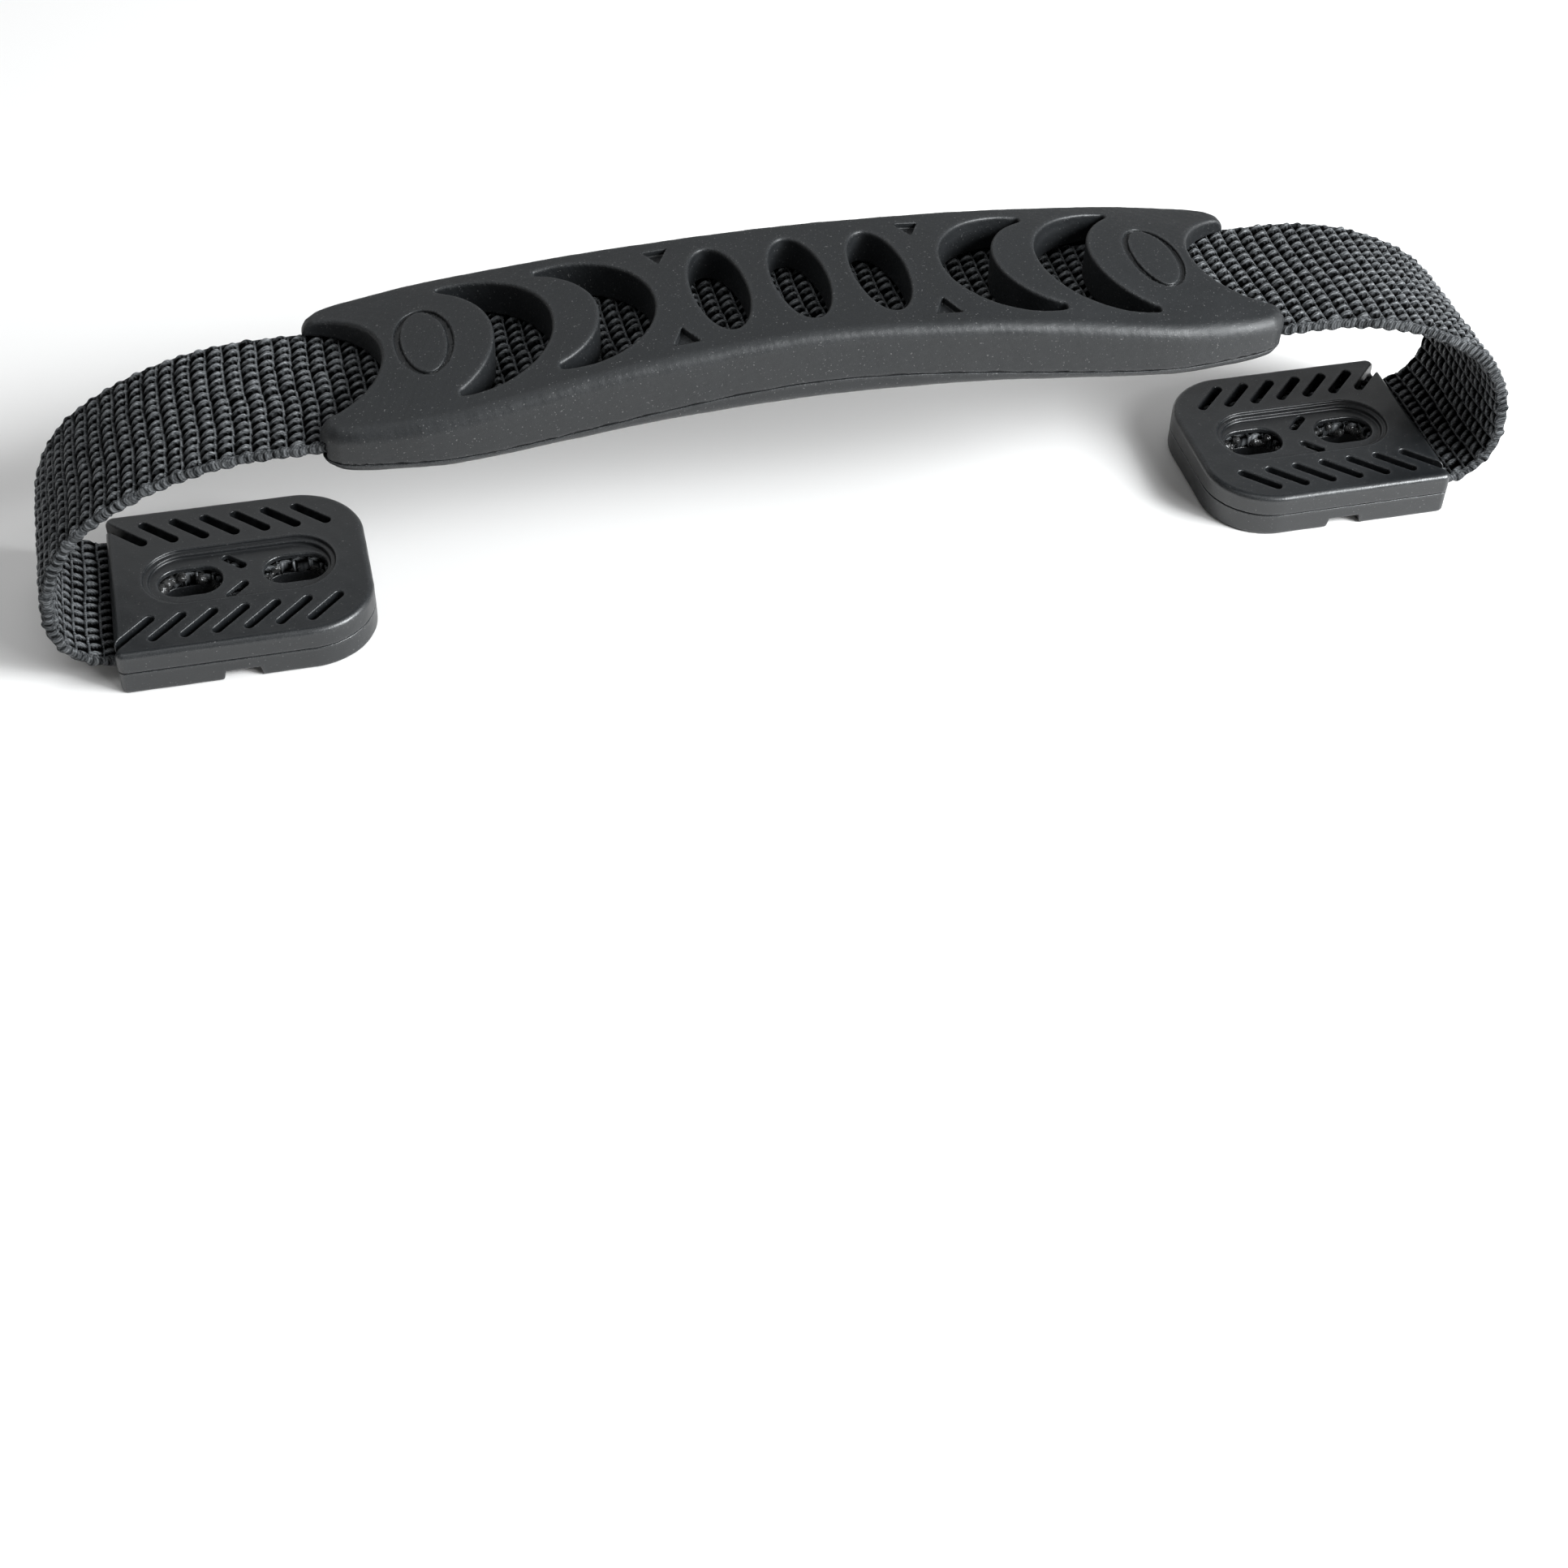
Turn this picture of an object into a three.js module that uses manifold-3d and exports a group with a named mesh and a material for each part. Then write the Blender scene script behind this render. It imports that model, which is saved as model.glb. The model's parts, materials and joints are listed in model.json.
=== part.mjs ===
// Webbing carry handle: a moulded two-shell grip on a 25 mm webbing strap. Each end of the strap
// loops down and back under the grip into a slotted screw-on end plate.
// Millimetres. +X runs along the grip, +Y is away from the front, +Z is up. The origin is on the
// surface that the end plates stand on, under the middle of the grip. The left half mirrors the right.

import * as THREE from "three";
import { mergeVertices } from "three/addons/utils/BufferGeometryUtils.js";
import Module from "manifold-3d";

const wasm = await Module();
wasm.setup();

// Clearance between pieces that touch in the real object.
const GAP = 0.3;

// Webbing strap: standard 25 mm (1 in) coarse webbing.
const STRAP_WIDTH = 25;
const STRAP_THICK = 2.2;
const SELVEDGE = 0.35;
const POCKET_WIDTH = 26;

// Course of the strap's middle line on the right side, seen from the front (x, z).
const EXIT_X = 60;
const SHOULDER_RADIUS = 41.1;
const SHOULDER_TURN = THREE.MathUtils.degToRad(35);
const SIDE_RADIUS = 17.8;
const LOOP_RADIUS = 7.6;
const LOOP_X = 102.6;
const LOOP_Z = 11.1;
const LOOP_RISE = 0.7;

// Places where the strap bends when a plate swings out: turned angle along each arc.
const UPPER_BEND = THREE.MathUtils.degToRad(50);
const LOWER_BEND = THREE.MathUtils.degToRad(-35);

// Height of the strap's middle line where it leaves the grip, level, above the arcs of the loop.
const SIDE_TURN = Math.PI / 2 - SHOULDER_TURN;
const SIDE_Z = LOOP_Z + LOOP_RISE;
const EXIT_Z = SIDE_Z + SIDE_RADIUS * Math.sin(SIDE_TURN) + SHOULDER_RADIUS * (1 - Math.sin(SIDE_TURN));

// Grip stations: distance from the middle, half width, crest height, crown drop and underside height.
const GRIP_STATIONS = [
  { x: 0, halfWidth: 13.9, crest: 43.1, crown: 0.2, underside: 32.9 },
  { x: 21, halfWidth: 14.6, crest: 42.55, crown: 0.7, underside: 32.6 },
  { x: 32, halfWidth: 15.3, crest: 41.8, crown: 1.1, underside: 32 },
  { x: 48, halfWidth: 16.4, crest: 40.2, crown: 1.7, underside: 31.2 },
  { x: 56, halfWidth: 15.9, crest: 39.2, crown: 1.6, underside: 31.1 },
  { x: 62.5, halfWidth: 14.7, crest: 38.2, crown: 1.1, underside: 31.1 },
  { x: 65, halfWidth: 12.9, crest: 37.6, crown: 0.8, underside: 31.4 },
];
const GRIP_ARCH = 3.2;
const ARCH_SPAN = 52;
const SEAM_DROP = 1.2;
const TOP_FILLET = 1.8;
const KEEL_FILLET = 1.6;
const STATION_STEP = 5;

// Windows through the upper shell.
const OVAL_PITCH = 10.9;
const OVAL_SIZE = [7.2, 19];
const CRESCENTS = [
  { nose: 19.7, waist: 7.3, outerRadius: 11.6, innerRadius: 11.1, tipX: 33.9 },
  { nose: 33.3, waist: 7.6, outerRadius: 12.3, innerRadius: 13.6, tipX: 46.9 },
];
const BAY_RADIUS = 11.1;
const BAY_X = 66.7;
const TRIANGLE_X = 17.5;
const TRIANGLE_Y = [7.6, 11];
const TRIANGLE_HALF = 1.7;
const TRIANGLE_DEPTH = 1;
const BADGE_X = 50;
const BADGE_SIZE = [6, 13.5];
const BADGE_GROOVE_SIZE = [7.6, 14.4];
const BADGE_DEPTH = 0.45;

// End plates.
const PLATE_X = [60.3, 95.3];
const PLATE_HALF_WIDTH = 15.2;
const PLATE_THICK = 6.6;
const PLATE_SPLIT = LOOP_Z - LOOP_RADIUS;
const PLATE_BEVEL = 0.6;
const PLATE_INNER_CORNER = 9.3;
const PLATE_OUTER_CORNER = 1.2;
const SLOT_FIRST_X = 92.4;
const SLOT_PITCH = 4.2;
const SLOT_COUNT = 7;
const SLOT_Y = 10.2;
const SLOT_LENGTH = 6.8;
const SLOT_WIDTH = 1.3;
const SLOT_SLANT = THREE.MathUtils.degToRad(45);
const RECESS_X = 77.9;
const RECESS_STEPS = [
  { length: 26.1, width: 11.4, depth: 0.5 },
  { length: 24.7, width: 10, depth: 1.1 },
];
const HOLE_X = [70.35, 84.65];
const HOLE_SIZE = [8.65, 5.75];
const PUNCHED_SIZE = [7.8, 5];
const SMALL_SLOT = { x: 78.5, y: 3, length: 3.9, width: 1.2 };
const TAIL_END_X = 65.4;
const NOTCH = { x: 79.2, length: 4.5, height: 1.5, depth: 2 };

const rubber = new THREE.MeshStandardMaterial({ color: 0x2c2d2f, roughness: 0.62, metalness: 0 });
const plastic = new THREE.MeshStandardMaterial({ color: 0x25272a, roughness: 0.45, metalness: 0 });
const webbing = new THREE.MeshStandardMaterial({ color: 0x1d1e20, roughness: 0.85, metalness: 0 });

// ---- solids ----

function solidOf(geometry) {
  geometry.deleteAttribute("normal");
  geometry.deleteAttribute("uv");
  const merged = mergeVertices(geometry, 1e-4);
  const vertProperties = new Float32Array(merged.attributes.position.array);
  const triVerts = new Uint32Array(merged.index.array);
  return new wasm.Manifold(new wasm.Mesh({ numProp: 3, vertProperties, triVerts }));
}

function geometryOf(solid) {
  const mesh = solid.getMesh();
  const geometry = new THREE.BufferGeometry();
  geometry.setAttribute("position", new THREE.BufferAttribute(new Float32Array(mesh.vertProperties), 3));
  geometry.setIndex(new THREE.BufferAttribute(new Uint32Array(mesh.triVerts), 1));
  return geometry;
}

// The same solid on the other side of the YZ plane.
function mirrored(solid) {
  const geometry = geometryOf(solid);
  const position = geometry.attributes.position;
  for (let i = 0; i < position.count; i++) position.setX(i, -position.getX(i));
  const index = geometry.index.array;
  for (let i = 0; i < index.length; i += 3) [index[i], index[i + 1]] = [index[i + 1], index[i]];
  return solidOf(geometry);
}

function subtractAll(solid, tools) {
  return tools.reduce((left, tool) => left.subtract(tool), solid);
}

function boxBetween(low, high) {
  const size = high.map((value, axis) => value - low[axis]);
  const geometry = new THREE.BoxGeometry(...size);
  geometry.translate(low[0] + size[0] / 2, low[1] + size[1] / 2, low[2] + size[2] / 2);
  return solidOf(geometry);
}

// A straight-walled solid over a plan outline, from z = low to z = high.
function prism(points, low, high, bevel = 0) {
  const geometry = new THREE.ExtrudeGeometry(new THREE.Shape(points), {
    depth: high - low - 2 * bevel,
    bevelEnabled: bevel > 0,
    bevelThickness: bevel,
    bevelSize: bevel,
    bevelOffset: -bevel,
    bevelSegments: 2,
    curveSegments: 1,
  });
  geometry.translate(0, 0, low + bevel);
  return solidOf(geometry);
}

function arc(cx, cy, radius, from, to, steps) {
  const points = [];
  for (let i = 0; i <= steps; i++) {
    const angle = from + ((to - from) * i) / steps;
    points.push(new THREE.Vector2(cx + radius * Math.cos(angle), cy + radius * Math.sin(angle)));
  }
  return points;
}

function ellipse(cx, cy, [width, height], steps) {
  return arc(0, 0, 1, 0, 2 * Math.PI, steps)
    .slice(0, -1)
    .map((p) => new THREE.Vector2(cx + (p.x * width) / 2, cy + (p.y * height) / 2));
}

// A slot outline with round ends, turned about its middle.
function obround(cx, cy, length, width, turn, capSteps) {
  const half = (length - width) / 2;
  const right = arc(half, 0, width / 2, -Math.PI / 2, Math.PI / 2, capSteps);
  const left = arc(-half, 0, width / 2, Math.PI / 2, (3 * Math.PI) / 2, capSteps);
  const centre = new THREE.Vector2(cx, cy);
  return [...right, ...left].map((p) => p.rotateAround(new THREE.Vector2(), turn).add(centre));
}

// A closed skin over rings of equally many points; each ring runs anticlockwise seen from the far end.
function loft(rings) {
  const count = rings[0].length;
  const index = [];
  for (let i = 0; i + 1 < rings.length; i++) {
    for (let j = 0; j < count; j++) {
      const a = i * count + j;
      const b = i * count + ((j + 1) % count);
      index.push(a, b, b + count, a, b + count, a + count);
    }
  }
  const last = (rings.length - 1) * count;
  for (let j = 1; j + 1 < count; j++) {
    index.push(0, j + 1, j);
    index.push(last, last + j, last + j + 1);
  }
  const geometry = new THREE.BufferGeometry();
  geometry.setAttribute("position", new THREE.Float32BufferAttribute(rings.flat(2), 3));
  geometry.setIndex(index);
  return solidOf(geometry);
}

// ---- strap ----

// The strap's middle line on the right, from inside the grip round the loop to its end in the plate.
function strapLine() {
  const sideX = LOOP_X - SIDE_RADIUS;
  const shoulderX = sideX + (SIDE_RADIUS - SHOULDER_RADIUS) * Math.cos(SIDE_TURN);
  const course = new THREE.Path();
  course.moveTo(EXIT_X, EXIT_Z);
  course.absarc(shoulderX, EXIT_Z - SHOULDER_RADIUS, SHOULDER_RADIUS, Math.PI / 2, SIDE_TURN, true);
  course.absarc(sideX, SIDE_Z, SIDE_RADIUS, SIDE_TURN, 0, true);
  course.absarc(LOOP_X - LOOP_RADIUS, LOOP_Z, LOOP_RADIUS, 0, -Math.PI / 2, true);
  course.lineTo(TAIL_END_X, PLATE_SPLIT);
  return course;
}

const line = strapLine();
const lineLength = line.getLength();

// Distances along the middle line to the two bends.
const shoulderStart = line.curves[0].getLength();
const sideStart = shoulderStart + line.curves[1].getLength();
const upperBend = sideStart + SIDE_RADIUS * (SIDE_TURN - UPPER_BEND);
const lowerBend = sideStart + line.curves[2].getLength() + LOOP_RISE - LOOP_RADIUS * LOWER_BEND;

// A frame on the strap: a place, the direction of travel and half the thickness there.
function frameAt(distance, half = STRAP_THICK / 2) {
  const u = distance / lineLength;
  const place = line.getPoint(u);
  const ahead = line.getPoint(Math.min(1, u + 1e-4));
  const behind = line.getPoint(Math.max(0, u - 1e-4));
  const travel = ahead.sub(behind).normalize();
  return { x: place.x, z: place.y, tx: travel.x, tz: travel.y, half };
}

function framesBetween(from, to, step) {
  const count = Math.max(1, Math.round((to - from) / step));
  return Array.from({ length: count + 1 }, (_, i) => frameAt(from + ((to - from) * i) / count));
}

// The round nose that a strap length ends in at a bend, centred on the bend's axis.
function roundNose(distance) {
  const at = frameAt(distance);
  const radius = STRAP_THICK / 2;
  return [30, 60, 84].map((degrees) => {
    const angle = THREE.MathUtils.degToRad(degrees);
    const reach = radius * Math.sin(angle);
    return { ...at, x: at.x + at.tx * reach, z: at.z + at.tz * reach, half: radius * Math.cos(angle) };
  });
}

// A flat band with slightly pointed selvedges, square to each frame.
function band(frames, width, grow = 0) {
  const rings = frames.map(({ x, z, tx, tz, half }) => {
    const point = (y, n) => [x - tz * n, y, z + tx * n];
    const h = half + grow;
    const outer = width / 2;
    const inner = outer - SELVEDGE;
    return [point(-outer, 0), point(-inner, -h), point(inner, -h), point(outer, 0), point(inner, h), point(-inner, h)];
  });
  return loft(rings);
}

// Height of the strap's middle line inside the grip.
function archAt(x) {
  const reach = Math.min(1, Math.abs(x) / ARCH_SPAN);
  return EXIT_Z + GRIP_ARCH * Math.cos((reach * Math.PI) / 2) ** 2;
}

// Height of the line where the grip's shells meet, a little below the strap's middle.
function seamAt(x) {
  return archAt(x) - SEAM_DROP;
}

function archFrame(x) {
  const slope = (archAt(x + 0.01) - archAt(x - 0.01)) / 0.02;
  const travel = new THREE.Vector2(1, slope).normalize();
  return { x, z: archAt(x), tx: travel.x, tz: travel.y, half: STRAP_THICK / 2 };
}

// The length held by the grip, with the two arms that reach out to the upper bends.
function gripStrap() {
  const arch = [];
  for (let x = 0; x < EXIT_X; x += 4) arch.push(archFrame(x));
  const right = [...arch, ...framesBetween(0, upperBend, 4), ...roundNose(upperBend)];
  const left = right.slice(1).reverse().map((f) => ({ ...f, x: -f.x, tz: -f.tz }));
  return band([...left, ...right], STRAP_WIDTH);
}

function loopStrap() {
  const clear = STRAP_THICK / 2 + GAP;
  return band([...framesBetween(upperBend + clear, lowerBend, 2), ...roundNose(lowerBend)], STRAP_WIDTH);
}

// The end of the strap: round the lower loop and into the plate, punched for the two screws.
function tailStrap() {
  const clear = STRAP_THICK / 2 + GAP;
  const straight = LOOP_X - LOOP_RADIUS;
  const loopEnd = lineLength - (straight - TAIL_END_X);
  const tail = band([...framesBetween(lowerBend + clear, loopEnd, 1.5), frameAt(lineLength)], STRAP_WIDTH);
  return subtractAll(tail, HOLE_X.map((x) => prism(obround(x, 0, ...PUNCHED_SIZE, 0, 6), 0, PLATE_THICK)));
}

// ---- grip ----

// A value along the grip, smoothly between the stations.
function stationValue(name, x) {
  const reach = Math.abs(x);
  const last = GRIP_STATIONS.length - 1;
  const i = Math.min(last - 1, GRIP_STATIONS.findLastIndex((station) => station.x <= reach));
  const at = (k) => (k < 0 ? { ...GRIP_STATIONS[-k], x: -GRIP_STATIONS[-k].x } : GRIP_STATIONS[Math.min(last, k)]);
  const [before, from, to, after] = [at(i - 1), at(i), at(i + 1), at(i + 2)];
  const span = to.x - from.x;
  const t = (reach - from.x) / span;
  const startSlope = ((to[name] - before[name]) / (to.x - before.x)) * span;
  const endSlope = ((after[name] - from[name]) / (after.x - from.x)) * span;
  const a = 2 * (from[name] - to[name]) + startSlope + endSlope;
  const b = 3 * (to[name] - from[name]) - 2 * startSlope - endSlope;
  return ((a * t + b) * t + startSlope) * t + from[name];
}

function gripPlaces() {
  const end = GRIP_STATIONS.at(-1).x;
  const half = [0];
  while (half.at(-1) + STATION_STEP < end - 4) half.push(half.at(-1) + STATION_STEP);
  half.push(end - 4, end - 2, end - 0.8, end);
  return [...half.slice(1).reverse().map((x) => -x), ...half];
}

// Section of the upper shell: flat below, upright walls, rounded shoulders and a crowned top.
function coverRing(x) {
  const wall = stationValue("halfWidth", x);
  const crest = stationValue("crest", x);
  const crown = stationValue("crown", x);
  const low = seamAt(x) + GAP / 2;
  const slope = Math.atan2(2 * crown, wall - TOP_FILLET);
  const filletY = wall - TOP_FILLET;
  const shoulderY = filletY + TOP_FILLET * Math.sin(slope);
  const filletZ = crest - crown - TOP_FILLET * Math.cos(slope);
  const fillet = arc(filletY, filletZ, TOP_FILLET, 0, Math.PI / 2 - slope, 3);
  const top = [-0.66, -0.33, 0, 0.33, 0.66].map((t) => new THREE.Vector2(-t * shoulderY, crest - crown * t * t));
  const mirroredFillet = fillet.map((p) => new THREE.Vector2(-p.x, p.y)).reverse();
  const outline = [new THREE.Vector2(wall, low), ...fillet, ...top, ...mirroredFillet, new THREE.Vector2(-wall, low)];
  return outline.map((p) => [x, p.x, p.y]);
}

// Section of the lower shell: flat above, upright walls and a rounded keel.
function baseRing(x) {
  const wall = stationValue("halfWidth", x);
  const underside = stationValue("underside", x);
  const high = seamAt(x) - GAP / 2;
  const fillet = arc(wall - KEEL_FILLET, underside + KEEL_FILLET, KEEL_FILLET, -Math.PI / 2, 0, 3);
  const mirroredFillet = fillet.map((p) => new THREE.Vector2(-p.x, p.y)).reverse();
  const outline = [new THREE.Vector2(-wall, high), ...mirroredFillet, ...fillet, new THREE.Vector2(wall, high)];
  return outline.map((p) => [x, p.x, p.y]);
}

// The channel that the strap lies in, a little larger than the strap all round.
function gripChannel() {
  const end = GRIP_STATIONS.at(-1).x + 2;
  const half = [];
  for (let x = 0; x < EXIT_X; x += 4) half.push(archFrame(x));
  half.push(archFrame(EXIT_X), archFrame(end));
  const left = half.slice(1).reverse().map((f) => ({ ...f, x: -f.x, tz: -f.tz }));
  return band([...left, ...half], POCKET_WIDTH, GAP);
}

function crescentOutline({ nose, waist, outerRadius, innerRadius, tipX }) {
  const outerX = nose + outerRadius;
  const innerX = nose + waist + innerRadius;
  const outerY = Math.sqrt(outerRadius ** 2 - (tipX - outerX) ** 2);
  const innerY = Math.sqrt(innerRadius ** 2 - (tipX - innerX) ** 2);
  const outerAngle = Math.atan2(outerY, tipX - outerX);
  const innerAngle = Math.atan2(innerY, tipX - innerX);
  const tipY = (outerY + innerY) / 2;
  const tipRadius = (outerY - innerY) / 2;
  return [
    ...arc(outerX, 0, outerRadius, outerAngle, 2 * Math.PI - outerAngle, 18),
    ...arc(tipX, -tipY, tipRadius, -Math.PI / 2, Math.PI / 2, 4).slice(1),
    ...arc(innerX, 0, innerRadius, 2 * Math.PI - innerAngle, innerAngle, 12).slice(1),
    ...arc(tipX, tipY, tipRadius, -Math.PI / 2, Math.PI / 2, 4).slice(1, -1),
  ];
}

// Cutting tools for the right half of the upper shell.
function coverTools() {
  const low = EXIT_Z - 1;
  const high = 50;
  const tools = CRESCENTS.map((crescent) => prism(crescentOutline(crescent), low, high));
  tools.push(prism(ellipse(OVAL_PITCH, 0, OVAL_SIZE, 24), low, high));
  tools.push(prism(arc(BAY_X, 0, BAY_RADIUS, 0, 2 * Math.PI, 36).slice(0, -1), low, high));
  return tools;
}

// Shallow marks in the top: a small triangle near each edge and the groove round the oval badge.
function coverMarks() {
  const triangleFloor = stationValue("crest", TRIANGLE_X) - stationValue("crown", TRIANGLE_X) - TRIANGLE_DEPTH;
  const [tip, foot] = TRIANGLE_Y;
  const marks = [-1, 1].map((side) => {
    const corners = [[TRIANGLE_X, side * tip], [TRIANGLE_X - side * TRIANGLE_HALF, side * foot],
      [TRIANGLE_X + side * TRIANGLE_HALF, side * foot]];
    return prism(corners.map((c) => new THREE.Vector2(...c)), triangleFloor, 50);
  });
  const badgeFloor = stationValue("crest", BADGE_X) - BADGE_DEPTH;
  const groove = prism(ellipse(BADGE_X, 0, BADGE_GROOVE_SIZE, 24), badgeFloor, 50);
  marks.push(groove.subtract(prism(ellipse(BADGE_X, 0, BADGE_SIZE, 24), badgeFloor - 1, 51)));
  return marks;
}

function gripCover() {
  const right = [...coverTools(), ...coverMarks()];
  const tools = [...right, ...right.map(mirrored), prism(ellipse(0, 0, OVAL_SIZE, 24), EXIT_Z - 1, 50)];
  return subtractAll(loft(gripPlaces().map(coverRing)), [gripChannel(), ...tools]);
}

function gripBase() {
  return loft(gripPlaces().map(baseRing)).subtract(gripChannel());
}

// ---- end plates ----

function plateOutline() {
  const [inner, outer] = PLATE_X;
  const corner = (x, side, radius, from) => {
    const cx = x + (x === inner ? radius : -radius);
    const cy = side * (PLATE_HALF_WIDTH - radius);
    return arc(cx, cy, radius, from, from + Math.PI / 2, radius > 5 ? 8 : 3);
  };
  return [
    ...corner(outer, 1, PLATE_OUTER_CORNER, 0),
    ...corner(inner, 1, PLATE_INNER_CORNER, Math.PI / 2),
    ...corner(inner, -1, PLATE_INNER_CORNER, Math.PI),
    ...corner(outer, -1, PLATE_OUTER_CORNER, (3 * Math.PI) / 2),
  ];
}

function plateBody() {
  return prism(plateOutline(), 0, PLATE_THICK, PLATE_BEVEL);
}

// The pocket for the strap's end, open at the plate's outer end.
function platePocket() {
  const half = STRAP_THICK / 2 + GAP;
  return boxBetween(
    [TAIL_END_X - 0.5, -POCKET_WIDTH / 2, PLATE_SPLIT - half],
    [PLATE_X[1] + 1, POCKET_WIDTH / 2, PLATE_SPLIT + half],
  );
}

function screwHoles() {
  return HOLE_X.map((x) => prism(obround(x, 0, ...HOLE_SIZE, 0, 8), -1, PLATE_THICK + 1));
}

// Two rows of slanted slots; the outermost pair runs out through the plate's outer end.
function plateSlots() {
  const floor = PLATE_SPLIT + STRAP_THICK / 2;
  const tools = [];
  for (const side of [-1, 1]) {
    for (let i = 0; i < SLOT_COUNT; i++) {
      const extra = i === 0 ? 1.6 : 0;
      const shift = extra / 2 / Math.SQRT2;
      const x = SLOT_FIRST_X - i * SLOT_PITCH + shift;
      const y = side * (SLOT_Y + shift);
      tools.push(prism(obround(x, y, SLOT_LENGTH + extra, SLOT_WIDTH, side * SLOT_SLANT, 4), floor, 8));
    }
    const { x, y, length, width } = SMALL_SLOT;
    tools.push(prism(obround(x, side * y, length, width, side * SLOT_SLANT, 4), floor, 8));
  }
  return tools;
}

function plateRecess() {
  return RECESS_STEPS.map(({ length, width, depth }) =>
    prism(obround(RECESS_X, 0, length, width, 0, 10), PLATE_THICK - depth, PLATE_THICK + 1));
}

function plateCover() {
  const below = boxBetween([0, -30, -1], [120, 30, PLATE_SPLIT + GAP / 2]);
  return subtractAll(plateBody(), [below, platePocket(), ...plateRecess(), ...screwHoles(), ...plateSlots()]);
}

// Lower half, with a small finger notch under each long edge.
function plateBase() {
  const above = boxBetween([0, -30, PLATE_SPLIT - GAP / 2], [120, 30, PLATE_THICK + 1]);
  const { x, length, height, depth } = NOTCH;
  const notches = [-1, 1].map((side) => {
    const edges = [side * (PLATE_HALF_WIDTH - depth), side * (PLATE_HALF_WIDTH + 1)].sort((a, b) => a - b);
    return boxBetween([x - length / 2, edges[0], -1], [x + length / 2, edges[1], height]);
  });
  return subtractAll(plateBody(), [above, platePocket(), ...screwHoles(), ...notches]);
}

// ---- assembly ----

function mesh(name, solid, material) {
  const node = new THREE.Mesh(geometryOf(solid), material);
  node.name = name;
  return node;
}

const handle = new THREE.Group();
handle.add(mesh("grip_cover", gripCover(), rubber));
handle.add(mesh("grip_base", gripBase(), rubber));
handle.add(mesh("grip_strap", gripStrap(), webbing));

const sidePieces = [
  ["loop_strap", loopStrap(), webbing],
  ["tail_strap", tailStrap(), webbing],
  ["plate_cover", plateCover(), plastic],
  ["plate_base", plateBase(), plastic],
];
for (const [name, solid, material] of sidePieces) {
  handle.add(mesh(`right_${name}`, solid, material));
  handle.add(mesh(`left_${name}`, mirrored(solid), material));
}

export default handle;
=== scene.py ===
"""Looks of a webbing carry handle: a moulded rubber grip on a coarse woven strap that loops down and
back at each end into a slotted end plate.

Metres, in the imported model's frame: +X along the grip, +Y away from the front, +Z up, with the floor
at z = 0. The left half mirrors the right. Moulded pieces are distance fields meshed on a fine grid, so
every edge gets its own rounding. The strap is woven from its own yarns along one course."""

import json
import math

import bpy
import numpy as np
from mathutils import Matrix, Vector


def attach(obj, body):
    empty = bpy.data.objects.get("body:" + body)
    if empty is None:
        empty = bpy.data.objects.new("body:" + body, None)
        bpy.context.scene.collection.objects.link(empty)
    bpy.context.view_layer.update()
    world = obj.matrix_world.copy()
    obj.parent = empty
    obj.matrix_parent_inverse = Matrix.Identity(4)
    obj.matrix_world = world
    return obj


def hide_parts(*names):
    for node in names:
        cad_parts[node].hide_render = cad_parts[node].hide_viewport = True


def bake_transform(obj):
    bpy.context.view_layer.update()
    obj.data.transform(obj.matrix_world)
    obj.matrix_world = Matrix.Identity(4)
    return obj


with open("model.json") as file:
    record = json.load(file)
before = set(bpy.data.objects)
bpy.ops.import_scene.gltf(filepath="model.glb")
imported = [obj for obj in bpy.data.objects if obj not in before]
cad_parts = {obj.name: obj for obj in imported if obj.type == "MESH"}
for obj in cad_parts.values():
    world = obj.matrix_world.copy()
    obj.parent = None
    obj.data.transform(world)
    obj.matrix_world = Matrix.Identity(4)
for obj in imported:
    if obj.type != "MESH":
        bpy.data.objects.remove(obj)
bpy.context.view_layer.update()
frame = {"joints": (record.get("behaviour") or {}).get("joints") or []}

MM = 0.001

# ---- driving dimensions ----

# Grid steps of the moulded pieces, the gap at a parting line and the strap's play in its pocket.
GRID_GRIP = 0.3 * MM
GRID_PLATE = 0.2 * MM
GRID_LUMP = 0.16 * MM
PARTING = 0.1 * MM
POCKET_PLAY = 0.1 * MM
WEAR_REACH = 0.6 * MM

# Strap and its course, as the CAD source has them.
STRAP_WIDTH = 25 * MM
STRAP_THICK = 2.2 * MM
POCKET_WIDTH = 26 * MM
EXIT_X = 60 * MM
SHOULDER_RADIUS = 41.1 * MM
SHOULDER_TURN = math.radians(35)
SIDE_RADIUS = 17.8 * MM
LOOP_RADIUS = 7.6 * MM
LOOP_X = 102.6 * MM
LOOP_Z = 11.1 * MM
LOOP_RISE = 0.7 * MM
TAIL_END_X = 65.4 * MM
GRIP_ARCH = 3.2 * MM
ARCH_SPAN = 52 * MM
SEAM_DROP = 1.2 * MM
GRIP_JOIN_X = 51 * MM
COURSE_STEP = 0.02 * MM
HEADING_BLUR = 0.6 * MM

SIDE_TURN = math.pi / 2 - SHOULDER_TURN
EXIT_Z = (LOOP_Z + LOOP_RISE + SIDE_RADIUS * math.sin(SIDE_TURN)
          + SHOULDER_RADIUS * (1 - math.sin(SIDE_TURN)))

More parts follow.
